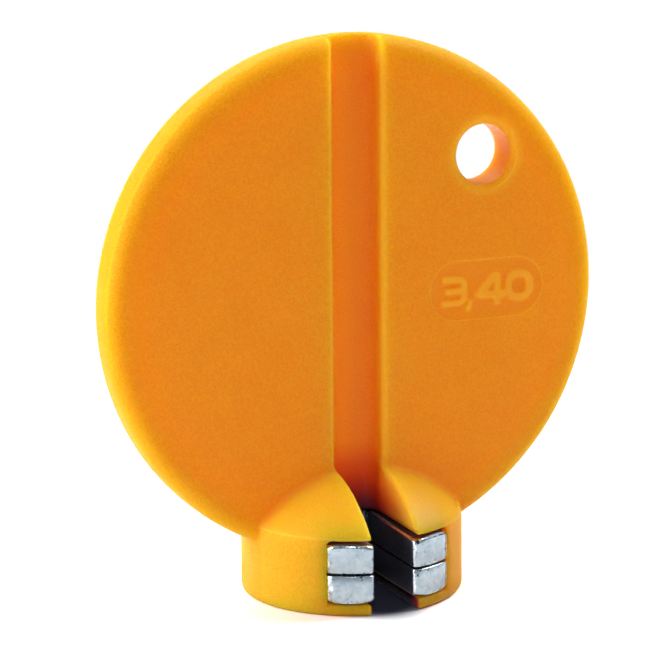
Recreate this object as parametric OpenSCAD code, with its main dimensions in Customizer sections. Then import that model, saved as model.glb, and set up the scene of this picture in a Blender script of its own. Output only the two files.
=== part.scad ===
// Spoke wrench: a round moulded handle on a domed boss that holds two steel jaw plates.
// The origin is the centre of the boss's flat base. +Z is up, the spoke slot faces -Y.

/* [Disc] */
// Diameter of the round handle
disc_d = 44; // [40:0.5:56]
// Thickness of the handle, centred on the boss
disc_t = 4.1; // [3.8:0.1:5]
// Rounding of the rim
rim_round = 1.35; // [0.5:0.05:1.7]
// Height of the disc's lowest point above the base
disc_foot = 3.1; // [1:0.1:5]

/* [Boss] */
// Diameter of the boss
boss_d = 18.8; // [17:0.1:22]
// Height of the dome's crown above the edge of the straight wall
dome_rise = 4.4; // [3:0.1:6]
// Height of the straight wall above the ceiling of the jaw pocket
wall_over_pocket = 0.2; // [0.1:0.05:1.5]
// Rounding of the base's outer edge
base_round = 0.3; // [0.1:0.05:0.5]

/* [Spoke groove] */
// Width of the groove down the front of the disc
groove_w = 4.3; // [4:0.05:5.5]
// Depth of the groove below the front face
groove_depth = 2.05; // [1.5:0.05:2.6]
// Fillet along the foot of each groove wall
groove_fillet = 1; // [0.3:0.05:1.4]
// Rounding of the groove's two front edges
groove_edge = 0.7; // [0.2:0.05:1.2]
// Width of the slot through the dome and the lip
slot_w = 4; // [3.6:0.05:4.6]
// Diameter of the spoke that lies on the groove's floor
spoke_d = 2; // [1.6:0.1:2.6]

/* [Jaw plates] */
// Gap between the jaws, across the flats of the nipple
jaw_gap = 3.4; // [3.2:0.05:3.6]
// Thickness of each plate
plate_t = 2.6; // [2:0.1:3]
// Width of each plate
plate_w = 10.7; // [9.5:0.1:12]
// Steel behind the nipple's seat
plate_web = 3.4; // [2:0.1:4.5]
// Distance of the plates' front behind the boss's surface
plate_inset = 0.05; // [0:0.05:0.6]
// Rounding of the jaw mouth's corners
jaw_corner = 0.5; // [0.2:0.05:0.9]
// Radius of the reliefs in the seat's corners
seat_relief = 0.35; // [0.2:0.05:0.5]
// Rounding of the plates' rear corners
plate_corner = 1.2; // [0.5:0.1:2]

/* [Jaw pocket] */
// Thickness of the lip under the plates
lip_t = 1; // [0.8:0.1:2]
// Gap beside and behind the plates
pocket_gap = 0.05; // [0.02:0.01:0.2]
// Gap above the plates
pocket_headroom = 0.2; // [0.05:0.05:0.4]
// Gap between the nipple's seat and the slot in the lip
lip_setback = 0.4; // [0.1:0.1:1]

/* [Lanyard hole] */
// Diameter of the hole
hole_d = 5; // [3:0.1:6]
// Rounding of the hole's edges
hole_edge = 0.75; // [0.2:0.05:1]
// Width of the web between the hole and the rim
hole_web = 3.2; // [2.5:0.1:5]
// Direction of the hole from the disc's centre
hole_angle = 44.5; // [30:0.5:60]

/* [Size label] */
// Length of the sunk oval
label_l = 10.5; // [8:0.1:12]
// Height of the sunk oval
label_h = 5.1; // [4:0.1:6]
// Depth of the sunk oval
label_depth = 0.1; // [0.05:0.05:0.4]
// Distance of the oval from the rim
label_margin = 5; // [3:0.1:6]

/* [Hidden] */
$fn = 96;
over = 1;
plastic = "#F0921C";
steel = "#C9D3DE";
disc_r = disc_d / 2;
disc_z = disc_foot + disc_r;
face_y = -disc_t / 2;
floor_y = face_y + groove_depth;
boss_r = boss_d / 2;
pocket_h = 2 * plate_t + pocket_headroom;
wall_h = lip_t + pocket_h + wall_over_pocket;
crown_z = wall_h + dome_rise;
dome_r = (boss_r * boss_r + dome_rise * dome_rise) / (2 * dome_rise);
seat_y = floor_y - spoke_d / 2 + jaw_gap / 2;
plate_back = seat_y + plate_web;
plate_r = boss_r - plate_inset;
hole_ring_r = disc_r - hole_web - hole_d / 2;
hole_x = hole_ring_r * cos(hole_angle);
hole_z = disc_z + hole_ring_r * sin(hole_angle);
label_x = disc_r - label_margin - label_l / 2;

// Half section of the disc, rounded at both ends of its rim
module disc_section() {
    round_y = disc_t / 2 - rim_round;
    translate([0, -disc_t / 2])
        square([disc_r - rim_round, disc_t]);
    translate([0, -round_y])
        square([disc_r, 2 * round_y]);
    for (side = [-1, 1])
        translate([disc_r - rim_round, side * round_y])
            circle(rim_round);
}

// Half section of the boss: a straight wall with a rounded foot, under a spherical dome
module boss_section() {
    intersection() {
        union() {
            translate([0, base_round])
                square([boss_r, crown_z]);
            square([boss_r - base_round, crown_z]);
            translate([boss_r - base_round, base_round])
                circle(base_round);
        }
        translate([0, crown_z - dome_r])
            circle(dome_r, $fn = 180);
        square([boss_r, crown_z]);
    }
}

// Square corner with a quarter circle taken out of it, for fillets and rounded edges
module corner_cut(r) {
    difference() {
        square(r);
        translate([r, r])
            circle(r);
    }
}

// Cross section of a channel from the front to the groove's floor, with filleted corners
module channel_section(width, front_y) {
    difference() {
        translate([-width / 2, front_y])
            square([width, floor_y - front_y]);
        for (side = [0, 1])
            mirror([side, 0])
                translate([width / 2, floor_y])
                    rotate(180)
                        corner_cut(groove_fillet);
    }
}

// Cross section of the groove, with its front edges rounded outwards
module groove_section() {
    channel_section(groove_w, face_y - over);
    for (side = [0, 1])
        mirror([side, 0])
            translate([groove_w / 2, face_y])
                corner_cut(groove_edge);
}

module disc_with_groove() {
    difference() {
        translate([0, 0, disc_z])
            rotate([90, 0, 0])
                rotate_extrude($fn = 180)
                    disc_section();
        linear_extrude(disc_z + disc_r + over)
            groove_section();
    }
}

// Opening for the spoke through the dome and, further back, through the lip
module spoke_slot() {
    front_y = -boss_r - over;
    translate([0, 0, lip_t + pocket_h / 2])
        linear_extrude(crown_z)
            channel_section(slot_w, front_y);
    translate([-slot_w / 2, front_y, -over])
        cube([slot_w, seat_y + lip_setback - front_y, lip_t + 2 * over]);
}

module jaw_pocket() {
    pocket_w = plate_w + 2 * pocket_gap;
    front_y = -boss_r - over;
    translate([-pocket_w / 2, front_y, lip_t])
        cube([pocket_w, plate_back + pocket_gap - front_y, pocket_h]);
}

// Hole along Y whose two edges flare out to the faces of the disc
module lanyard_hole() {
    hole_r = hole_d / 2;
    translate([hole_x, 0, hole_z])
        rotate([90, 0, 0]) {
            cylinder(r = hole_r, h = disc_t + 2 * over, center = true);
            for (side = [0, 1])
                mirror([0, 0, side])
                    rotate_extrude()
                        translate([hole_r, disc_t / 2])
                            mirror([0, 1])
                                corner_cut(hole_edge);
        }
}

module label_recess() {
    end_x = (label_l - label_h) / 2;
    translate([label_x, face_y + label_depth, disc_z])
        rotate([90, 0, 0])
            linear_extrude(label_depth + over) {
                square([2 * end_x, label_h], center = true);
                for (side = [-1, 1])
                    translate([side * end_x, 0])
                        circle(label_h / 2);
            }
}

module handle() {
    color(plastic)
        difference() {
            union() {
                disc_with_groove();
                rotate_extrude($fn = 180)
                    boss_section();
            }
            spoke_slot();
            jaw_pocket();
            lanyard_hole();
            label_recess();
        }
}

// Waste at one corner of the jaw mouth, outside an arc that touches the jaw and the front
module mouth_waste() {
    jaw_x = jaw_gap / 2;
    arc_x = jaw_x + jaw_corner;
    reach = plate_r - jaw_corner;
    arc_y = -sqrt(reach * reach - arc_x * arc_x);
    beyond = (plate_r + over) / reach;
    difference() {
        polygon([
            [arc_x, arc_y],
            [jaw_x - over / 2, arc_y],
            [jaw_x - over / 2, -plate_r - over],
            [arc_x * beyond, arc_y * beyond]
        ]);
        translate([arc_x, arc_y])
            circle(jaw_corner);
    }
}

// Outline of a jaw plate: front on the boss's curve, rounded rear corners, a seat for the nipple
module plate_outline() {
    difference() {
        intersection() {
            circle(plate_r, $fn = 180);
            translate([-plate_w / 2, -plate_r])
                square([plate_w, plate_r + plate_back]);
        }
        translate([-jaw_gap / 2, -plate_r - over])
            square([jaw_gap, plate_r + over + seat_y]);
        for (side = [0, 1])
            mirror([side, 0]) {
                mouth_waste();
                translate([jaw_gap / 2 - seat_relief / 2, seat_y])
                    circle(seat_relief);
                translate([plate_w / 2, plate_back])
                    rotate(180)
                        corner_cut(plate_corner);
            }
    }
}

module jaw_plate(bottom_z) {
    color(steel)
        translate([0, 0, bottom_z])
            linear_extrude(plate_t)
                plate_outline();
}

module lower_jaw_plate() {
    jaw_plate(lip_t);
}

module upper_jaw_plate() {
    jaw_plate(lip_t + plate_t);
}

handle();
upper_jaw_plate();
lower_jaw_plate();
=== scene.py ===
# Spoke wrench: a round moulded handle on a domed boss, with two stacked steel jaw plates in its slot.
import bpy
import bmesh
from math import cos, exp, radians, sin
from mathutils import Matrix, Vector


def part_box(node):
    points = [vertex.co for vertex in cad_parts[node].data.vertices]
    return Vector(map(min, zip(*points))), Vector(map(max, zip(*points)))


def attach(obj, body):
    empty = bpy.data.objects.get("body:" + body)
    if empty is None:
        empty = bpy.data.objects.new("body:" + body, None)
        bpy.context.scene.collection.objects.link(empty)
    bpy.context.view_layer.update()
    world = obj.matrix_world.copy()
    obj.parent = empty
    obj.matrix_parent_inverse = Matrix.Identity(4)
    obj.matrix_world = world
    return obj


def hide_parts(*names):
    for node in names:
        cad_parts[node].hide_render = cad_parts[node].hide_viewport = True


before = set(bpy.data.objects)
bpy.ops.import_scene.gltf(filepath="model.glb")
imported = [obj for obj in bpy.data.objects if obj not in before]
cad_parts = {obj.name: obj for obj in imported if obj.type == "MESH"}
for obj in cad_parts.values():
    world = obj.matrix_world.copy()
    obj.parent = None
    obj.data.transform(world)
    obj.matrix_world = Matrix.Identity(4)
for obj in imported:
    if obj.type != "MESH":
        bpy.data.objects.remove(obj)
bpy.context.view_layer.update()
scene = bpy.context.scene
scene.view_settings.view_transform = "Standard"
mm = 0.001
weldGap = 0.001 * mm  # points closer than this are one
levelGap = 0.01 * mm  # points closer than this are on one level
print("frame loaded:", ", ".join(sorted(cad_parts)))


def hexLinear(code):  # sRGB hex to the linear colour that a socket takes
    parts = [int(code[i:i + 2], 16) / 255 for i in (1, 3, 5)]
    return [p / 12.92 if p <= 0.04045 else ((p + 0.055) / 1.055) ** 2.4 for p in parts] + [1]


def addNode(tree, kind, settings=None, values=None, links=None):
    node = tree.nodes.new(kind)
    for name, value in (settings or {}).items():
        setattr(node, name, value)
    for socket, value in (values or {}).items():
        node.inputs[socket].default_value = value
    for socket, source in (links or {}).items():
        tree.links.new(source, node.inputs[socket])
    return node


def newMaterial(name):
    material = bpy.data.materials.new(name)
    material.use_nodes = True
    material.node_tree.nodes.clear()
    return material, material.node_tree


def linked(name, mesh, material):
    piece = bpy.data.objects.new(name, mesh)
    scene.collection.objects.link(piece)
    mesh.materials.clear()
    mesh.materials.append(material)
    return piece


# Satin moulded polyamide: a saturated yellow-orange that lets light in a little at every edge,
# under the fine even grain of a spark-eroded mould.
mouldedLook = {
    "colour": "#F4AD20",
    "colourDeep": "#EE9618",
    "patch": (5 * mm, 3, 0.5),  # slow colour drift of the moulding: size, noise detail and roughness
    "speck": (0.15 * mm, 2, 0.6),  # pigment specks, drawn coarser than the real 0.05 mm so that they show
    "grain": (0.15 * mm, 2, 0.6),  # mould grain, drawn at twice its real size so that it shows
    "patchShare": 0.2,
    "driftLevel": (0.4, 0.8),  # noise from the plain colour to the deep one
    "grainHeight": 0.05 * mm,
    "roughness": (0.14, 0.26),
    "roughLevel": (0.3, 0.7),  # noise from the smoothest to the roughest
    "dullRoughness": 0.5,  # the rim and the boss's flanks, dulled by fingers, mirror less of the room
    "gloss": 0.08,
    "ior": 1.53,
    "glowDepth": 5.8 * mm,  # how far red light travels in the plastic
    "glowShare": (1, 0.66, 0.08),  # and green and blue beside it
    "slotShade": (5 * mm, 13 * mm),  # painted shade in the root of the slot, from the lip up into the groove
    "slotShadeLean": -0.8,  # its edge rises towards the back by this much of the depth
    "slotShadeTone": [(0.15, "#1A1412"), (0.42, "#F07C6C"), (0.6, "#FFC0B8"), (0.95, "#FFFFFF")],
    "slotShadeFilm": ("#5A2AB0", 0.2, 0.9, 0.12),  # a bluish painted tint over that shade: colour, from full to none, share
    "slotShadeSide": (2.02 * mm, 2.3 * mm),
    "slotShadeBack": (1.3 * mm, 1.8 * mm),  # no further back than the slot's end
    "pocketTone": "#B8A078",  # painted shade in the pocket round the plates
    "pocketEdge": (8.2 * mm, 8.6 * mm),  # from the boss's axis
    "pocketCeiling": (5.9 * mm, 6.4 * mm, 0.74 * mm),  # heights from which it reaches further out, how far
    "pocketSeam": (3.6 * mm, 0.11 * mm, 0.25 * mm),  # so too beside the seam: height, full and no reach
    "pocketLevel": (0.5 * mm, 6.46 * mm),
    "footTone": (0.25, 0.3, 0.6),  # painted shade along the foot of the slot's walls
    "footEdge": (6.45 * mm, 6.9 * mm),
    "footSide": (2.06 * mm, 2.25 * mm),
    "slotTone": (1, 0.84, 1.3),  # painted shade on the slot's walls above it, redder like the light that comes through
    "fleckStep": 5 * mm,  # stray dark flecks in the moulding
    "fleckSize": (0.05 * mm, 0.13 * mm),
    "colourFleck": "#B47A18",
    "colourHighlight": "#FFC63C",  # painted highlights, paler, on the numerals and along edges
    "highlightMark": (2.06 * mm, 2.11 * mm, 0.28),  # numerals: from none to full off the middle plane, share
    "ovalMiddle": (11.75 * mm, 0, 25.1 * mm),
    "ovalStraight": 2.7 * mm,  # half the straight part of the sunk oval
    "highlightOval": (2.56 * mm, 0.08 * mm, 0.5),  # its edge: radius of the ends, width, share
    "holeMiddle": (11.626 * mm, 0, 36.525 * mm),
    "highlightHole": (3.1 * mm, 0.6 * mm, 0.2),  # the hole's flare: radius, width, share
    "highlightArc": (2.96 * mm, 0.1 * mm, 0.8),  # sharper line round the hole's lower right
    "arcWay": (0.8, 0, -0.6),
    "arcReach": (1.7 * mm, 2.6 * mm),
    "highlightGroove": (2.3 * mm, 0.4 * mm, 0.3),  # the groove's edges: from its middle, width, share
    "frontOnly": (-0.6 * mm, -1 * mm),  # from none to full, so that the back stays plain
    "highlightDome": (6.62 * mm, 0.16 * mm, 0.4),  # edge between dome and wall: height, width, share
    "domeRim": (9.36 * mm, 0.12 * mm),  # from the boss's axis, half width
    "grooveShadeTone": (0.9, 0.87, 1.5),  # painted shade, redder, on the groove's floor
    "grooveShadeSpan": [  # along x, x and y, each from none to full
        (-1.3 * mm, 0.5 * mm), (2.3 * mm, 1.9 * mm), (-1.7 * mm, -1.1 * mm), (0.7 * mm, 0.4 * mm),
    ],
    "domeTone": (1, 0.87, 0.8),  # painted shade on the dome's right, where the light rakes across the grain
    "domePatch": [(1 * mm, 3.5 * mm), (6.8 * mm, 7.4 * mm)],  # along x and z, each from none to full
    "glintTone": (1, 1.25, 1.75),  # the tops of that grain, which catch the light
    "glintLevel": (0.42, 0.6),
    "discMiddle": (0, 0, 25.1 * mm),
    "discHalf": (2.06 * mm, 2.3 * mm),  # from the disc's faces to clear of them
    "rimTone": (0.8, 1, 0.62),  # painted light: the thin rim lets light through and looks yellower
    "rimEdge": (18.6 * mm, 22 * mm),  # from the disc's axis
    "rimEnd": (22.02 * mm, 22.3 * mm),
    "lineTone": (1, 1.16, 1.6),  # bright line where the rim's front edge turns to the light
    "rimLine": (21.83 * mm, 0.14 * mm, 1),  # radius, width, share
    "lineWay": (-0.9, 0, 0.43),
    "lineReach": (17 * mm, 20 * mm),
    "bossTone": (0.95, 1.1, 1.15),  # painted light on the boss's left, yellower like the rim
    "bossTop": (6.2 * mm, 8.2 * mm),
    "bossSide": (3 * mm, -3 * mm),
    "rightTone": (0.95, 0.8, 0.5),  # painted shade on the boss's right, redder
    "flankSide": (3.5 * mm, 7 * mm),
    "wallTone": (1.2, 1, 1.2),  # painted light on the thin walls round the jaws, redder
    "wallEdge": (-6.2 * mm, -7.6 * mm),
    "wallTop": (6.4 * mm, 7.2 * mm),
    "lipTone": (0.96, 0.86, 0.72),  # painted shade on the lip under the jaws, redder still
    "lipTop": (1 * mm, 2 * mm),
    "edgeTone": (1.05, 0.86, 1),  # painted shade on the walls close beside the jaws, too
    "edgeReach": (5.4 * mm, 7.4 * mm),
}


def mouldedPlastic():
    look = mouldedLook
    material, tree = newMaterial("satinMouldedPolyamide")
    place = addNode(tree, "ShaderNodeTexCoord").outputs["Object"]
    noise = {}
    for name in ("patch", "speck", "grain"):
        size, detail, ruggedness = look[name]
        made = addNode(tree, "ShaderNodeTexNoise", None,
                       {"Scale": 1 / size, "Detail": detail, "Roughness": ruggedness}, {"Vector": place})
        noise[name] = made.outputs["Fac"]
    blend = addNode(tree, "ShaderNodeMath", {"operation": "MULTIPLY_ADD"}, {1: look["patchShare"]},
                    {0: noise["patch"], 2: noise["speck"]})
    low, high = look["driftLevel"]
    drift = addNode(tree, "ShaderNodeMapRange", None, {1: low, 2: high}, {0: blend.outputs[0]})
    pigment = addNode(tree, "ShaderNodeMix", {"data_type": "RGBA"},
                      {6: hexLinear(look["colour"]), 7: hexLinear(look["colourDeep"])}, {0: drift.outputs[0]})
    cell = addNode(tree, "ShaderNodeTexVoronoi", None, {"Scale": 1 / look["fleckStep"]}, {"Vector": place})
    inner, outer = (size / look["fleckStep"] for size in look["fleckSize"])
    fleck = addNode(tree, "ShaderNodeMapRange", None, {1: inner, 2: outer, 3: 1, 4: 0},
                    {0: cell.outputs["Distance"]})
    flecked = addNode(tree, "ShaderNodeMix", {"data_type": "RGBA"}, {7: hexLinear(look["colourFleck"])},
                      {0: fleck.outputs[0], 6: pigment.outputs[2]})

    # Painted highlights on the numerals and edges
    axes = addNode(tree, "ShaderNodeSeparateXYZ", None, None, {0: place})
    out = addNode(tree, "ShaderNodeMath", {"operation": "ABSOLUTE"}, None, {0: axes.outputs["Y"]})
    low, high, share = look["highlightMark"]
    mark = addNode(tree, "ShaderNodeMapRange", None, {1: low, 2: high, 4: share}, {0: out.outputs[0]})
    flat = addNode(tree, "ShaderNodeVectorMath", {"operation": "MULTIPLY"}, {1: (1, 0, 1)}, {0: place})
    across = addNode(tree, "ShaderNodeVectorMath", {"operation": "SUBTRACT"}, {1: look["ovalMiddle"]},
                     {0: flat.outputs[0]})
    acrossAxes = addNode(tree, "ShaderNodeSeparateXYZ", None, None, {0: across.outputs[0]})
    straight = look["ovalStraight"]
    nearest = addNode(tree, "ShaderNodeClamp", None, {"Min": -straight, "Max": straight},
                      {0: acrossAxes.outputs["X"]})
    bone = addNode(tree, "ShaderNodeCombineXYZ", None, None, {"X": nearest.outputs[0]})
    oval = addNode(tree, "ShaderNodeVectorMath", {"operation": "DISTANCE"}, None,
                   {0: across.outputs[0], 1: bone.outputs[0]})
    ring = addNode(tree, "ShaderNodeVectorMath", {"operation": "DISTANCE"}, {1: look["holeMiddle"]},
                   {0: flat.outputs[0]})
    spread = addNode(tree, "ShaderNodeVectorMath", {"operation": "DISTANCE"}, {1: look["discMiddle"]},
                     {0: flat.outputs[0]})
    side = addNode(tree, "ShaderNodeMath", {"operation": "ABSOLUTE"}, None, {0: axes.outputs["X"]})
    lines = {}
    for name, way in (
        ("highlightOval", oval.outputs["Value"]),
        ("highlightHole", ring.outputs["Value"]),
        ("highlightArc", ring.outputs["Value"]),
        ("highlightGroove", side.outputs[0]),
        ("highlightDome", axes.outputs["Z"]),
        ("rimLine", spread.outputs["Value"]),
    ):
        centre, width, share = look[name]
        off = addNode(tree, "ShaderNodeMath", {"operation": "SUBTRACT"}, {1: centre}, {0: way})
        off = addNode(tree, "ShaderNodeMath", {"operation": "ABSOLUTE"}, None, {0: off.outputs[0]})
        lines[name] = addNode(tree, "ShaderNodeMapRange", {"interpolation_type": "SMOOTHSTEP"},
                              {2: width, 3: share, 4: 0}, {0: off.outputs[0]})
    for name, middle, wayName, reachName in (  # rings that show on one side only
        ("highlightArc", "holeMiddle", "arcWay", "arcReach"),
        ("rimLine", "discMiddle", "lineWay", "lineReach"),
    ):
        outward = addNode(tree, "ShaderNodeVectorMath", {"operation": "SUBTRACT"}, {1: look[middle]},
                          {0: flat.outputs[0]})
        lean = addNode(tree, "ShaderNodeVectorMath", {"operation": "DOT_PRODUCT"}, {1: look[wayName]},
                       {0: outward.outputs[0]})
        low, high = look[reachName]
        lines[name] = addNode(tree, "ShaderNodeMapRange", None, {1: low, 2: high, 3: 0},
                              {0: lean.outputs["Value"], 4: lines[name].outputs[0]})
    # painted highlights: numerals, the oval's edge, the hole's flare and arc, the groove's and the dome's
    # edges
    highlightMask = mark
    for name in ("highlightOval", "highlightHole", "highlightArc", "highlightGroove"):
        highlightMask = addNode(tree, "ShaderNodeMath", {"operation": "MAXIMUM"}, None,
                      {0: highlightMask.outputs[0], 1: lines[name].outputs[0]})
    level = addNode(tree, "ShaderNodeVectorMath", {"operation": "MULTIPLY"}, {1: (1, 1, 0)}, {0: place})
    radius = addNode(tree, "ShaderNodeVectorMath", {"operation": "LENGTH"}, None, {0: level.outputs[0]})
    low, high = look["wallTop"]
    above = addNode(tree, "ShaderNodeMapRange", None, {1: low, 2: high}, {0: axes.outputs["Z"]})
    low, high = look["frontOnly"]
    facing = addNode(tree, "ShaderNodeMapRange", None, {1: low, 2: high}, {0: axes.outputs["Y"]})
    centre, half = look["domeRim"]
    onRim = addNode(tree, "ShaderNodeMath", {"operation": "COMPARE"}, {1: centre, 2: half},
                    {0: radius.outputs["Value"]})
    for part in (above, facing):
        highlightMask = addNode(tree, "ShaderNodeMath", {"operation": "MULTIPLY"}, None,
                      {0: highlightMask.outputs[0], 1: part.outputs[0]})
    domeLine = addNode(tree, "ShaderNodeMath", {"operation": "MULTIPLY"}, None,
                       {0: lines["highlightDome"].outputs[0], 1: onRim.outputs[0]})
    highlightMask = addNode(tree, "ShaderNodeMath", {"operation": "MAXIMUM"}, None,
                  {0: highlightMask.outputs[0], 1: domeLine.outputs[0]})
    paintedLightColour = addNode(tree, "ShaderNodeMix", {"data_type": "RGBA"}, {7: hexLinear(look["colourHighlight"])},
                     {0: highlightMask.outputs[0], 6: flecked.outputs[2]})

    # Painted light and shade on the rim, groove, dome and boss
    # painted light on the rim, and its painted highlight line
    low, high = look["rimEdge"]
    rim = addNode(tree, "ShaderNodeMapRange", {"interpolation_type": "SMOOTHSTEP"}, {1: low, 2: high},
                  {0: spread.outputs["Value"]})
    rimLine = addNode(tree, "ShaderNodeMath", {"operation": "MULTIPLY"}, None,
                      {0: lines["rimLine"].outputs[0], 1: facing.outputs[0]})
    low, high = look["rimEnd"]
    inRim = addNode(tree, "ShaderNodeMapRange", None, {1: low, 2: high, 3: 1, 4: 0},
                    {0: spread.outputs["Value"]})
    low, high = look["discHalf"]
    inDisc = addNode(tree, "ShaderNodeMapRange", None, {1: low, 2: high, 4: 0},
                     {0: out.outputs[0], 3: inRim.outputs[0]})
    outDisc = addNode(tree, "ShaderNodeMapRange", None, {1: low, 2: high, 3: 0},
                      {0: out.outputs[0], 4: facing.outputs[0]})
    rimmed = addNode(tree, "ShaderNodeMath", {"operation": "MULTIPLY"}, None,
                     {0: rim.outputs[0], 1: inDisc.outputs[0]})
    low, high = look["wallEdge"]
    front = addNode(tree, "ShaderNodeMapRange", {"interpolation_type": "SMOOTHSTEP"}, {1: low, 2: high},
                    {0: axes.outputs["Y"]})
    # painted shade on the groove's floor
    grooveShade = above
    for way, (low, high) in zip("XXYY", look["grooveShadeSpan"]):
        part = addNode(tree, "ShaderNodeMapRange", None, {1: low, 2: high}, {0: axes.outputs[way]})
        grooveShade = addNode(tree, "ShaderNodeMath", {"operation": "MULTIPLY"}, None,
                        {0: grooveShade.outputs[0], 1: part.outputs[0]})
    # painted shade over the dome's right, with painted glints on the grain
    domeRight = outDisc
    for way, (low, high) in zip("XZ", look["domePatch"]):
        domeRight = addNode(tree, "ShaderNodeMapRange", None, {1: low, 2: high, 3: 0},
                            {0: axes.outputs[way], 4: domeRight.outputs[0]})
    low, high = look["glintLevel"]
    glint = addNode(tree, "ShaderNodeMapRange", None, {1: low, 2: high, 3: 0},
                    {0: noise["grain"], 4: domeRight.outputs[0]})
    # painted light on the boss's left
    low, high = look["bossTop"]
    boss = addNode(tree, "ShaderNodeMapRange", None, {1: low, 2: high, 4: 0},
                   {0: axes.outputs["Z"], 3: outDisc.outputs[0]})
    low, high = look["bossSide"]
    boss = addNode(tree, "ShaderNodeMapRange", None, {1: low, 2: high, 3: 0},
                   {0: axes.outputs["X"], 4: boss.outputs[0]})
    # the first of these carries painted shade on the boss's right
    flanks = []  # the boss's right, and both of its sides
    for way in (axes.outputs["X"], side.outputs[0]):
        low, high = look["flankSide"]
        flank = addNode(tree, "ShaderNodeMapRange", None, {1: low, 2: high}, {0: way})
        low, high = look["wallTop"]
        flanks.append(addNode(tree, "ShaderNodeMapRange", None, {1: low, 2: high, 4: 0},
                              {0: axes.outputs["Z"], 3: flank.outputs[0]}))
    # painted shade along the foot of the slot's walls
    low, high = look["footEdge"]
    foot = addNode(tree, "ShaderNodeMapRange", None, {1: low, 2: high, 4: 0},
                   {0: axes.outputs["Z"], 3: facing.outputs[0]})
    inner, outer = look["footSide"]
    foot = addNode(tree, "ShaderNodeMapRange", None, {1: inner, 2: outer, 4: 0},
                   {0: side.outputs[0], 3: foot.outputs[0]})
    # painted shade on the slot's walls above the foot
    inner, outer = look["slotShadeSide"]
    slotWall = addNode(tree, "ShaderNodeMapRange", None, {1: inner, 2: outer, 4: 0},
                       {0: side.outputs[0], 3: outDisc.outputs[0]})
    slotWall = addNode(tree, "ShaderNodeMath", {"operation": "MULTIPLY"}, None,
                       {0: slotWall.outputs[0], 1: above.outputs[0]})
    toned = {
        "rimTone": rimmed, "lineTone": rimLine, "grooveShadeTone": grooveShade, "domeTone": domeRight, "glintTone": glint,
        "bossTone": boss, "rightTone": flanks[0], "footTone": foot, "slotTone": slotWall,
    }
    # painted light on the walls round the jaws, painted shade on the lip and beside the jaws
    for topName, toneName in (("wallTop", "wallTone"), ("lipTop", "lipTone")):
        low, high = look[topName]
        below = addNode(tree, "ShaderNodeMapRange", None, {1: low, 2: high, 3: 1, 4: 0},
                        {0: axes.outputs["Z"]})
        toned[toneName] = addNode(tree, "ShaderNodeMath", {"operation": "MULTIPLY"}, None,
                                  {0: front.outputs[0], 1: below.outputs[0]})
    low, high = look["edgeReach"]
    toned["edgeTone"] = addNode(tree, "ShaderNodeMapRange", None, {1: low, 2: high, 4: 0},
                                {0: side.outputs[0], 3: toned["wallTone"].outputs[0]})
    # each painted light or shade multiplied into the colour
    for toneName, part in toned.items():
        paintedLightColour = addNode(tree, "ShaderNodeMix", {"data_type": "RGBA", "blend_type": "MULTIPLY"},
                         {7: look[toneName] + (1,)}, {0: part.outputs[0], 6: paintedLightColour.outputs[2]})

    # Painted shade in the slot and the pocket
    depth = addNode(tree, "ShaderNodeMath", {"operation": "MULTIPLY_ADD"}, {1: look["slotShadeLean"]},
                    {0: axes.outputs["Y"], 2: axes.outputs["Z"]})
    low, high = look["slotShade"]
    rise = addNode(tree, "ShaderNodeMapRange", None, {1: low, 2: high}, {0: depth.outputs[0]})
    tone = addNode(tree, "ShaderNodeValToRGB", None, None, {0: rise.outputs[0]})
    for i, (stop, code) in enumerate(look["slotShadeTone"]):
        step = tone.color_ramp.elements[i] if i < 2 else tone.color_ramp.elements.new(stop)
        step.position = stop
        step.color = hexLinear(code)
    within = None
    for way, name in ((side.outputs[0], "slotShadeSide"), (axes.outputs["Y"], "slotShadeBack")):
        inner, outer = look[name]
        within = addNode(tree, "ShaderNodeMapRange", None, {1: inner, 2: outer, 3: 1, 4: 0},
                         {0: way, 3: within.outputs[0]} if within else {0: way})
    # painted shade multiplied into the colour, then a bluish painted tint over it
    slotted = addNode(tree, "ShaderNodeMix", {"data_type": "RGBA", "blend_type": "MULTIPLY"}, None,
                      {0: within.outputs[0], 6: paintedLightColour.outputs[2], 7: tone.outputs[0]})
    code, full, none, share = look["slotShadeFilm"]
    film = addNode(tree, "ShaderNodeMapRange", None, {1: full, 2: none, 3: share, 4: 0}, {0: rise.outputs[0]})
    film = addNode(tree, "ShaderNodeMath", {"operation": "MULTIPLY"}, None,
                   {0: film.outputs[0], 1: within.outputs[0]})
    slotted = addNode(tree, "ShaderNodeMix", {"data_type": "RGBA"}, {7: hexLinear(code)},
                      {0: film.outputs[0], 6: slotted.outputs[2]})
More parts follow.
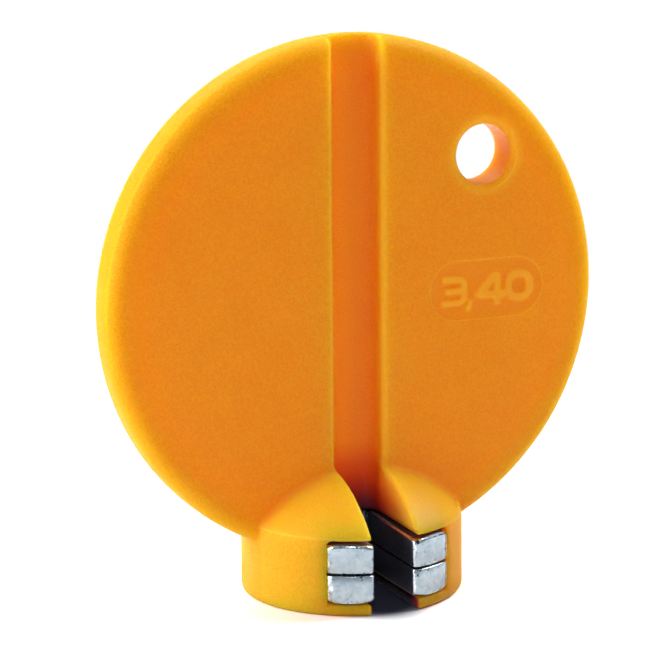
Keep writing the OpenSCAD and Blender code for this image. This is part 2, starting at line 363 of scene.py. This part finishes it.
    # painted shade in the pocket round the plates, reaching further out under the ceiling and beside the seam
    low, high, reach = look["pocketCeiling"]
    further = addNode(tree, "ShaderNodeMapRange", None, {1: low, 2: high, 4: reach}, {0: axes.outputs["Z"]})
    centre, inner, outer = look["pocketSeam"]
    off = addNode(tree, "ShaderNodeMath", {"operation": "SUBTRACT"}, {1: centre}, {0: axes.outputs["Z"]})
    off = addNode(tree, "ShaderNodeMath", {"operation": "ABSOLUTE"}, None, {0: off.outputs[0]})
    beside = addNode(tree, "ShaderNodeMapRange", None, {1: inner, 2: outer, 3: reach, 4: 0},
                     {0: off.outputs[0]})
    further = addNode(tree, "ShaderNodeMath", {"operation": "MAXIMUM"}, None,
                      {0: further.outputs[0], 1: beside.outputs[0]})
    inward = addNode(tree, "ShaderNodeMath", {"operation": "SUBTRACT"}, None,
                     {0: radius.outputs["Value"], 1: further.outputs[0]})
    inner, outer = look["pocketEdge"]
    held = addNode(tree, "ShaderNodeMapRange", None, {1: inner, 2: outer, 3: 1, 4: 0}, {0: inward.outputs[0]})
    low, high = look["pocketLevel"]
    middle = addNode(tree, "ShaderNodeMath", {"operation": "COMPARE"},
                     {1: (low + high) / 2, 2: (high - low) / 2}, {0: axes.outputs["Z"]})
    pocket = addNode(tree, "ShaderNodeMath", {"operation": "MULTIPLY"}, None,
                     {0: held.outputs[0], 1: middle.outputs[0]})
    colour = addNode(tree, "ShaderNodeMix", {"data_type": "RGBA", "blend_type": "MULTIPLY"},
                     {7: hexLinear(look["pocketTone"])}, {0: pocket.outputs[0], 6: slotted.outputs[2]})

    # Surface
    low, high = look["roughLevel"]
    least, most = look["roughness"]
    rough = addNode(tree, "ShaderNodeMapRange", None, {1: low, 2: high, 3: least, 4: most},
                    {0: noise["speck"]})
    dulled = addNode(tree, "ShaderNodeMath", {"operation": "MAXIMUM"}, None,
                     {0: rimmed.outputs[0], 1: flanks[1].outputs[0]})
    rough = addNode(tree, "ShaderNodeMix", None, {3: look["dullRoughness"]},
                    {0: dulled.outputs[0], 2: rough.outputs[0]})
    bump = addNode(tree, "ShaderNodeBump", None, {"Strength": 1, "Distance": look["grainHeight"]},
                   {"Height": noise["grain"]})
    shader = addNode(tree, "ShaderNodeBsdfPrincipled", None, {
        "IOR": look["ior"],
        "Specular IOR Level": look["gloss"],
        "Subsurface Weight": 1,
        "Subsurface Radius": look["glowShare"],
        "Subsurface Scale": look["glowDepth"],
    }, {"Base Color": colour.outputs[2], "Roughness": rough.outputs[0], "Normal": bump.outputs[0]})
    addNode(tree, "ShaderNodeOutputMaterial", None, None, {"Surface": shader.outputs[0]})
    return material


# Bright zinc-plated stamped steel: a cold blue-white metal, cloudy from the plating bath, with
# the fine upright tool marks of the shear on its cut edges.
zincLook = {
    "colour": "#B4C1C8",
    "colourCloud": "#9AACBA",
    "cloud": (0.6 * mm, 5, 0.65),  # clouds of the plating: size, noise detail and roughness
    "cloudLevel": (0.35, 0.65),  # noise from one colour to the other
    "mark": (0.12 * mm, 3, 0.6),  # shear marks
    "markScale": (1, 1, 0.12),  # drawn out upwards
    "markHeight": 0.006 * mm,
    "roughness": (0.12, 0.3),
    "roughLevel": (0.3, 0.7),  # noise from the smoothest to the roughest
    "colourEdgeHighlight": "#E8EFF6",  # painted highlight along the edges
    "colourEdgeShade": "#646C80",  # painted shade on the sheared walls, in the seam and round the rim
    "edgeShadeRoughness": 0.5,
    "frontSpan": ((1.75 * mm, 5.45 * mm), (0.06 * mm, 2.46 * mm)),  # each front across and up from the seam
    "seamHeight": 3.6 * mm,
    "edgeBands": (0.02 * mm, 0.1 * mm, 0.2 * mm),  # where the painted shade ends, the painted highlight starts to fade and is gone
    "highlightUp": 2,  # how much narrower it is along the top and bottom
    "chip": (0.8 * mm, 4, 0.6),  # spacing of the highlighted and plain stretches
    "chipMiddle": 0.46,
    "ragged": 0.6 * mm,
    "nick": (0.28 * mm, 3, 0.6),  # dark nicks in the plating near the edges
    "colourNick": "#2A3650",
    "nickLevel": (0.58, 0.66),
    "nickZone": (0.12 * mm, 0.55 * mm),
    "scars": [  # dents and one bright chip that use has left: x, z, radius in mm, colour
        (2.06, 5.86, 0.16, "#20304A"), (2.05, 3.42, 0.14, "#20304A"), (2.05, 2.94, 0.13, "#20304A"),
        (5.24, 4.6, 0.1, "#20304A"), (-2.16, 5.81, 0.14, "#20304A"), (-5.19, 2.5, 0.28, "#F4F8FC"),
    ],
    "scarRagged": 0.9 * mm,
    "scarCore": 0.6,  # share of the radius that is full colour
}


def zincPlatedSteel():
    look = zincLook
    material, tree = newMaterial("zincPlatedStampedSteel")
    place = addNode(tree, "ShaderNodeTexCoord").outputs["Object"]
    stretch = addNode(tree, "ShaderNodeMapping", None, {"Scale": look["markScale"]}, {"Vector": place})
    noise = {}
    for name, way in (("cloud", place), ("mark", stretch.outputs[0]), ("chip", place), ("nick", place)):
        size, detail, ruggedness = look[name]
        made = addNode(tree, "ShaderNodeTexNoise", None,
                       {"Scale": 1 / size, "Detail": detail, "Roughness": ruggedness}, {"Vector": way})
        noise[name] = made.outputs["Fac"]
    low, high = look["cloudLevel"]
    cloudy = addNode(tree, "ShaderNodeMapRange", None, {1: low, 2: high}, {0: noise["cloud"]})
    colour = addNode(tree, "ShaderNodeMix", {"data_type": "RGBA"},
                     {6: hexLinear(look["colour"]), 7: hexLinear(look["colourCloud"])},
                     {0: cloudy.outputs[0]})
    axes = addNode(tree, "ShaderNodeSeparateXYZ", None, None, {0: place})
    height = addNode(tree, "ShaderNodeMath", {"operation": "SUBTRACT"}, {1: look["seamHeight"]},
                     {0: axes.outputs["Z"]})
    inside = []  # how far inside its front each point lies, across and up
    for way, (low, high) in zip((axes.outputs["X"], height.outputs[0]), look["frontSpan"]):
        away = addNode(tree, "ShaderNodeMath", {"operation": "ABSOLUTE"}, None, {0: way})
        off = addNode(tree, "ShaderNodeMath", {"operation": "SUBTRACT"}, {1: (low + high) / 2},
                      {0: away.outputs[0]})
        off = addNode(tree, "ShaderNodeMath", {"operation": "ABSOLUTE"}, None, {0: off.outputs[0]})
        inside.append(addNode(tree, "ShaderNodeMath", {"operation": "SUBTRACT"}, {0: (high - low) / 2},
                              {1: off.outputs[0]}))
    near = addNode(tree, "ShaderNodeMath", {"operation": "MINIMUM"}, None,
                   {0: inside[0].outputs[0], 1: inside[1].outputs[0]})
    centred = addNode(tree, "ShaderNodeMath", {"operation": "SUBTRACT"}, {1: look["chipMiddle"]},
                      {0: noise["chip"]})
    upward = addNode(tree, "ShaderNodeMath", {"operation": "MULTIPLY"}, {1: look["highlightUp"]},
                     {0: inside[1].outputs[0]})
    highlightNear = addNode(tree, "ShaderNodeMath", {"operation": "MINIMUM"}, None,
                       {0: inside[0].outputs[0], 1: upward.outputs[0]})
    ragged = addNode(tree, "ShaderNodeMath", {"operation": "MULTIPLY_ADD"}, {1: look["ragged"]},
                     {0: centred.outputs[0], 2: highlightNear.outputs[0]})
    # painted highlight along the edges, and painted shade on the walls, seam and rim
    shadeEnd, highlightFade, highlightEnd = look["edgeBands"]
    highlit = addNode(tree, "ShaderNodeMapRange", None, {1: highlightFade, 2: highlightEnd}, {0: ragged.outputs[0]})
    bright = addNode(tree, "ShaderNodeMix", {"data_type": "RGBA"}, {6: hexLinear(look["colourEdgeHighlight"])},
                     {0: highlit.outputs[0], 7: colour.outputs[2]})
    unshaded = addNode(tree, "ShaderNodeMapRange", None, {1: 0, 2: shadeEnd}, {0: near.outputs[0]})
    finish = addNode(tree, "ShaderNodeMix", {"data_type": "RGBA"}, {6: hexLinear(look["colourEdgeShade"])},
                     {0: unshaded.outputs[0], 7: bright.outputs[2]})
    low, high = look["nickZone"]
    zone = addNode(tree, "ShaderNodeMapRange", None, {1: low, 2: high, 3: 1, 4: 0}, {0: near.outputs[0]})
    low, high = look["nickLevel"]
    nicked = addNode(tree, "ShaderNodeMapRange", None, {1: low, 2: high, 3: 0},
                     {0: noise["nick"], 4: zone.outputs[0]})
    finish = addNode(tree, "ShaderNodeMix", {"data_type": "RGBA"}, {7: hexLinear(look["colourNick"])},
                     {0: nicked.outputs[0], 6: finish.outputs[2]})
    flat = addNode(tree, "ShaderNodeVectorMath", {"operation": "MULTIPLY"}, {1: (1, 0, 1)}, {0: place})
    for x, z, size, code in look["scars"]:
        off = addNode(tree, "ShaderNodeVectorMath", {"operation": "DISTANCE"}, {1: (x * mm, 0, z * mm)},
                      {0: flat.outputs[0]})
        edge = addNode(tree, "ShaderNodeMath", {"operation": "MULTIPLY_ADD"}, {1: look["scarRagged"]},
                       {0: centred.outputs[0], 2: off.outputs["Value"]})
        spot = addNode(tree, "ShaderNodeMapRange", None,
                       {1: size * look["scarCore"] * mm, 2: size * mm, 3: 1, 4: 0}, {0: edge.outputs[0]})
        finish = addNode(tree, "ShaderNodeMix", {"data_type": "RGBA"}, {7: hexLinear(code)},
                         {0: spot.outputs[0], 6: finish.outputs[2]})
    low, high = look["roughLevel"]
    least, most = look["roughness"]
    matt = addNode(tree, "ShaderNodeMapRange", None, {1: low, 2: high, 3: least, 4: most},
                   {0: noise["cloud"]})
    rough = addNode(tree, "ShaderNodeMix", None, {2: look["edgeShadeRoughness"]},
                    {0: unshaded.outputs[0], 3: matt.outputs[0]})
    bump = addNode(tree, "ShaderNodeBump", None, {"Strength": 1, "Distance": look["markHeight"]},
                   {"Height": noise["mark"]})
    shader = addNode(tree, "ShaderNodeBsdfPrincipled", None, {"Metallic": 1}, {
        "Base Color": finish.outputs[2], "Roughness": rough.outputs[0], "Normal": bump.outputs[0]})
    addNode(tree, "ShaderNodeOutputMaterial", None, None, {"Surface": shader.outputs[0]})
    return material


# Size mark: numerals drawn along the middle of each stroke, in x and z
sizeMark = {
    "face": -2.19 * mm,  # a little proud of the disc's face
    "root": -1.6 * mm,  # sunk into the disc so that the skin closes over it
    "turnSegments": 6,
    "strokes": [  # width, corner rounding, closed, points in mm
        (0.5, 0.45, False, [(7.64, 26.09), (9.59, 26.09), (9.59, 24.1), (7.64, 24.1)]),
        (0.5, 0, False, [(7.95, 25.1), (9.59, 25.1)]),
        (0.42, 0, False, [(10.22, 24.3), (9.95, 23.35)]),
        (0.6, 0.1, False, [(12.72, 23.76), (12.72, 26.2), (12.4, 26.2), (11.0, 24.62), (13.34, 24.62)]),
        (0.64, 0.8, True, [(13.75, 24.16), (13.75, 26.17), (15.79, 26.17), (15.79, 24.16)]),
    ],
}


def addStroke(bm, width, turn, closed, points):
    part = bmesh.new()
    row = [part.verts.new((x * mm, sizeMark["face"], z * mm)) for x, z in points]
    for a, b in zip(row, row[1:] + row[:1] if closed else row[1:]):
        part.edges.new((a, b))
    corners = [v for v in part.verts if len(v.link_edges) == 2]
    if turn:
        bmesh.ops.bevel(part, geom=corners, offset=turn * mm, offset_type="OFFSET",
                        segments=sizeMark["turnSegments"], profile=0.5, affect="VERTICES", material=-1)
    made = bmesh.ops.extrude_edge_only(part, edges=part.edges)
    bmesh.ops.translate(part, vec=(0, sizeMark["root"] - sizeMark["face"], 0),
                        verts=[g for g in made["geom"] if isinstance(g, bmesh.types.BMVert)])
    bmesh.ops.recalc_face_normals(part, faces=part.faces)
    ribbon = bpy.data.meshes.new("ribbon")
    part.to_mesh(ribbon)
    part.free()
    holder = bpy.data.objects.new("ribbon", ribbon)
    scene.collection.objects.link(holder)
    wall = holder.modifiers.new("wall", "SOLIDIFY")
    wall.thickness = width * mm
    wall.offset = 0
    wall.use_even_offset = True
    solid = bpy.data.meshes.new_from_object(holder.evaluated_get(bpy.context.evaluated_depsgraph_get()))
    bm.from_mesh(solid)
    bpy.data.objects.remove(holder)
    bpy.data.meshes.remove(ribbon)
    bpy.data.meshes.remove(solid)


# Handle: the solid's own form under one moulded skin, every edge softened as the mould leaves it
handleSkin = {
    "voxel": 0.1,  # mm
    "softFactor": 0.5,  # of each round of smoothing
    "softRounds": 5,  # over the whole skin
    "bossRounds": 26,  # more of it on the dome, slot and pocket edges
    "bossTop": 11.6,  # mm, up to just over the crown
    "endRounds": 10,  # and where the groove runs out over the rim
    "endZone": (3.4, 44.4),  # mm, half width and height from which
    "triangles": 180000,
}


def shapeOf(piece):  # the piece's mesh with its modifiers applied
    made = bpy.data.meshes.new_from_object(piece.evaluated_get(bpy.context.evaluated_depsgraph_get()))
    old = piece.data
    piece.modifiers.clear()
    piece.data = made
    bpy.data.meshes.remove(old)


def makeHandle(material):
    bm = bmesh.new()
    bm.from_mesh(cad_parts["handle"].data)
    bmesh.ops.remove_doubles(bm, verts=bm.verts, dist=weldGap)
    for stroke in sizeMark["strokes"]:
        addStroke(bm, *stroke)
    bmesh.ops.scale(bm, vec=(1 / mm,) * 3, verts=bm.verts)  # in mm while the voxels are this small
    mesh = bpy.data.meshes.new("handleSkin")
    bm.to_mesh(mesh)
    bm.free()
    skin = linked("handleSkin", mesh, material)
    voxels = skin.modifiers.new("voxels", "REMESH")
    voxels.mode = "VOXEL"
    voxels.voxel_size = handleSkin["voxel"]
    shapeOf(skin)
    bm = bmesh.new()
    bm.from_mesh(skin.data)
    low = [v for v in bm.verts if v.co.z < handleSkin["bossTop"]]
    endX, endZ = handleSkin["endZone"]
    end = [v for v in bm.verts if v.co.z > endZ and abs(v.co.x) < endX]
    axes = {"use_axis_x": True, "use_axis_y": True, "use_axis_z": True}
    for rounds, verts in (("softRounds", bm.verts), ("bossRounds", low), ("endRounds", end)):
        for i in range(handleSkin[rounds]):
            bmesh.ops.smooth_vert(bm, verts=verts, factor=handleSkin["softFactor"], **axes)
    quads = len(bm.faces)
    bm.to_mesh(skin.data)
    bm.free()
    thin = skin.modifiers.new("thin", "DECIMATE")
    thin.ratio = handleSkin["triangles"] / (2 * quads)
    shapeOf(skin)
    skin.data.transform(Matrix.Scale(mm, 4))
    skin.data.name = "handleSkin"
    skin.data.shade_smooth()
    print("handle skin:", quads, "quads before thinning,", len(skin.data.polygons), "faces kept")
    return skin


# Jaw plates: the solids' outline with the rounded die-roll side outwards and a sheared corner at the mouth
platePress = {
    "roll": 0.32 * mm,  # die-roll rounding on the side the punch entered
    "rollSegments": 5,
    "rollReach": 1.01,  # share of the rounding within which points droop
    "seam": 0.07 * mm,  # broken edge where the two plates meet
    "seamSegments": 2,
    "flatAngle": 1,  # degrees, up to which faces are joined
    "sharpAngle": 40,  # degrees, from which an edge shows
    "seamGap": 0.11 * mm,  # half the dark line between them
    "droops": [  # corner that the roll pulls down: x, y, how far, reach
        (1.95 * mm, -9.05 * mm, 0.24 * mm, 0.75 * mm),
        (5.35 * mm, -7.7 * mm, 0.16 * mm, 0.6 * mm),
    ],
}


def makePlate(name, node, rollUp, material):
    bm = bmesh.new()
    bm.from_mesh(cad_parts[node].data)
    bmesh.ops.remove_doubles(bm, verts=bm.verts, dist=weldGap)
    bmesh.ops.dissolve_limit(bm, angle_limit=radians(platePress["flatAngle"]), verts=bm.verts, edges=bm.edges)
    low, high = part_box(node)
    rollZ, seamZ = (high[2], low[2]) if rollUp else (low[2], high[2])
    down = -1 if rollUp else 1
    seamFace = [v for v in bm.verts if abs(v.co.z - seamZ) < levelGap]
    bmesh.ops.translate(bm, vec=(0, 0, -down * platePress["seamGap"]), verts=seamFace)
    seamZ -= down * platePress["seamGap"]
    for rim, level in (("roll", rollZ), ("seam", seamZ)):
        loop = [e for e in bm.edges if all(abs(v.co.z - level) < levelGap for v in e.verts)]
        bmesh.ops.bevel(bm, geom=loop, offset=platePress[rim], offset_type="OFFSET",
                        segments=platePress[rim + "Segments"], profile=0.5, affect="EDGES",
                        clamp_overlap=False, material=-1)
    for v in bm.verts:
        if abs(v.co.z - rollZ) < platePress["roll"] * platePress["rollReach"]:
            fall = 0
            for x, y, depth, reach in platePress["droops"]:
                away = Vector((abs(v.co.x) - x, v.co.y - y)).length / reach
                fall += depth * exp(-away * away)
            v.co.z += down * fall
    bmesh.ops.triangulate(bm, faces=[f for f in bm.faces if len(f.verts) > 4])
    mesh = bpy.data.meshes.new(name)
    bm.to_mesh(mesh)
    bm.free()
    mesh.shade_smooth()
    mesh.set_sharp_from_angle(angle=radians(platePress["sharpAngle"]))
    return linked(name, mesh, material)


plastic = mouldedPlastic()
steel = zincPlatedSteel()
pieces = [
    (makeHandle(plastic), "handle", "moulded_plastic"),
    (makePlate("upperJaw", "upper_jaw_plate", True, steel), "upper_jaw_plate", "plated_steel"),
    (makePlate("lowerJaw", "lower_jaw_plate", False, steel), "lower_jaw_plate", "plated_steel"),
]
for piece, node, slot in pieces:
    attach(piece, "root")
    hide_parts(node)
print("pieces:", len(pieces))

# Studio: white floor, white room behind, a large soft box at the left and one at the upper right
studio = {
    "floorSide": 3,  # m
    "floorColour": "#E8E8E6",
    "floorShown": 1.35,  # the floor as the camera sees it, over white so that only close shadows stay
    "floorFade": (0.05, 0.14),  # m, where the floor turns into plain white
    "floorShadow": "#4C566E",  # painted shadow under the boss, where that lift would wash the shadow out
    "floorShadowEdge": (7.4 * mm, 12.2 * mm),
    "floorShadowScale": (1.9, 1, 1),  # narrower across, like the slot
    "floorShadowMiddle": (0, -0.6 * mm, 0),
    "roomFront": 0.09,  # light of the room from the camera's side
    "roomBack": 0.58,  # and from behind
    "roomTurn": (-0.4, 0.6),  # from the one to the other, along y
    "mirrorLevel": 0.42,  # the same room as shiny faces show it
    "boxes": [  # name, place, width and height, watts
        ("softLeft", (-0.39, 0, 0.16), (0.16, 0.3), 1.68),
        ("softRight", (0.27, 0, 0.31), (0.12, 0.26), 1.36),
        ("softBack", (-0.05, 0.26, 0.36), (0.3, 0.3), 0.88),
        ("spark", (-0.16, -0.42, 0.3), (0.05, 0.05), 0.27),
    ],
    "aim": (0, 0, 0.02),
}


def makeFloor():
    bm = bmesh.new()
    bmesh.ops.create_grid(bm, x_segments=1, y_segments=1, size=studio["floorSide"] / 2)
    mesh = bpy.data.meshes.new("floor")
    bm.to_mesh(mesh)
    bm.free()
    paper, tree = newMaterial("whitePaperSweep")
    path = addNode(tree, "ShaderNodeLightPath")
    mirrored = addNode(tree, "ShaderNodeMath", {"operation": "MAXIMUM"}, None,
                       {0: path.outputs["Is Glossy Ray"], 1: path.outputs["Is Transmission Ray"]})
    plain = addNode(tree, "ShaderNodeMix", {"data_type": "RGBA"},
                    {6: hexLinear(studio["floorColour"]), 7: (1, 1, 1, 1)}, {0: mirrored.outputs[0]})
    place = addNode(tree, "ShaderNodeTexCoord").outputs["Object"]
    away = addNode(tree, "ShaderNodeVectorMath", {"operation": "LENGTH"}, None, {0: place})
    # painted shadow under the boss, fading out to the lifted floor
    narrow = addNode(tree, "ShaderNodeMapping", None, {"Scale": studio["floorShadowScale"]}, {"Vector": place})
    under = addNode(tree, "ShaderNodeVectorMath", {"operation": "DISTANCE"}, {1: studio["floorShadowMiddle"]},
                    {0: narrow.outputs[0]})
    near, far = studio["floorShadowEdge"]
    clear = addNode(tree, "ShaderNodeMapRange", {"interpolation_type": "SMOOTHSTEP"}, {1: near, 2: far},
                    {0: under.outputs["Value"]})
    shown = addNode(tree, "ShaderNodeMix", {"data_type": "RGBA"},
                    {6: hexLinear(studio["floorShadow"]), 7: (studio["floorShown"],) * 3 + (1,)},
                    {0: clear.outputs[0]})
    tint = addNode(tree, "ShaderNodeMix", {"data_type": "RGBA"}, None,
                   {0: path.outputs["Is Camera Ray"], 6: plain.outputs[2], 7: shown.outputs[2]})
    matt = addNode(tree, "ShaderNodeBsdfDiffuse", None, None, {"Color": tint.outputs[2]})
    near, far = studio["floorFade"]
    fade = addNode(tree, "ShaderNodeMapRange", {"interpolation_type": "SMOOTHSTEP"}, {1: near, 2: far},
                   {0: away.outputs["Value"]})
    seen = addNode(tree, "ShaderNodeMath", {"operation": "MAXIMUM"}, None,
                   {0: path.outputs["Is Camera Ray"], 1: mirrored.outputs[0]})
    lift = addNode(tree, "ShaderNodeMath", {"operation": "MULTIPLY"}, None,
                   {0: fade.outputs[0], 1: seen.outputs[0]})
    white = addNode(tree, "ShaderNodeEmission")
    both = addNode(tree, "ShaderNodeMixShader", None, None,
                   {0: lift.outputs[0], 1: matt.outputs[0], 2: white.outputs[0]})
    addNode(tree, "ShaderNodeOutputMaterial", None, None, {"Surface": both.outputs[0]})
    linked("floor", mesh, paper)


def makeRoom():
    world = bpy.data.worlds.new("whiteRoom")
    world.use_nodes = True
    tree = world.node_tree
    tree.nodes.clear()
    path = addNode(tree, "ShaderNodeLightPath")
    way = addNode(tree, "ShaderNodeSeparateXYZ", None, None,
                  {0: addNode(tree, "ShaderNodeTexCoord").outputs["Generated"]})
    near, far = studio["roomTurn"]
    room = addNode(tree, "ShaderNodeMapRange", {"interpolation_type": "SMOOTHSTEP"},
                   {1: near, 2: far, 3: studio["roomFront"], 4: studio["roomBack"]}, {0: way.outputs["Y"]})
    metal = addNode(tree, "ShaderNodeMix", None, {3: studio["mirrorLevel"]},
                    {0: path.outputs["Is Glossy Ray"], 2: room.outputs[0]})
    through = addNode(tree, "ShaderNodeMath", {"operation": "MAXIMUM"}, None,
                      {0: path.outputs["Is Camera Ray"], 1: path.outputs["Is Transmission Ray"]})
    level = addNode(tree, "ShaderNodeMix", None, {3: 1}, {0: through.outputs[0], 2: metal.outputs[0]})
    back = addNode(tree, "ShaderNodeBackground", None, {"Color": (1, 1, 1, 1)},
                   {"Strength": level.outputs[0]})
    addNode(tree, "ShaderNodeOutputWorld", None, None, {"Surface": back.outputs[0]})
    scene.world = world


def makeLamps():
    for name, place, size, power in studio["boxes"]:
        lamp = bpy.data.lights.new(name, "AREA")
        lamp.shape = "RECTANGLE"
        lamp.size, lamp.size_y = size
        lamp.energy = power
        box = bpy.data.objects.new(name, lamp)
        box.location = place
        box.rotation_euler = (Vector(studio["aim"]) - box.location).to_track_quat("-Z", "Y").to_euler()
        box.visible_camera = False
        scene.collection.objects.link(box)


# Camera: long lens, a little above and to the left of the front
view = {
    "azimuth": 22.866,  # degrees to the left of the front
    "elevation": 12.155,
    "roll": -0.469,
    "distance": 240.684 * mm,
    "aimSide": -1.4627 * mm,
    "aimHeight": 21.982 * mm,
    "lens": 155.453,
    "sensor": 36,
    "nearest": 10 * mm,  # nothing closer to the lens is drawn
}


def makeCamera():
    az, el, roll = (radians(view[k]) for k in ("azimuth", "elevation", "roll"))
    back = Vector((-sin(az) * cos(el), -cos(az) * cos(el), sin(el)))
    right = (-back).cross(Vector((0, 0, 1))).normalized()
    up = right.cross(-back)
    target = right * view["aimSide"] + Vector((0, 0, view["aimHeight"]))
    turned = Matrix((right * cos(roll) + up * sin(roll), up * cos(roll) - right * sin(roll), back))
    turned = turned.transposed()
    lens = bpy.data.cameras.new("camera")
    lens.lens = view["lens"]
    lens.sensor_width = view["sensor"]
    lens.clip_start = view["nearest"]
    eye = bpy.data.objects.new("camera", lens)
    eye.matrix_world = Matrix.Translation(target + back * view["distance"]) @ turned.to_4x4()
    scene.collection.objects.link(eye)
    scene.camera = eye


makeFloor()
makeRoom()
makeLamps()
makeCamera()
print("studio and camera set")

bpy.context.view_layer.update()
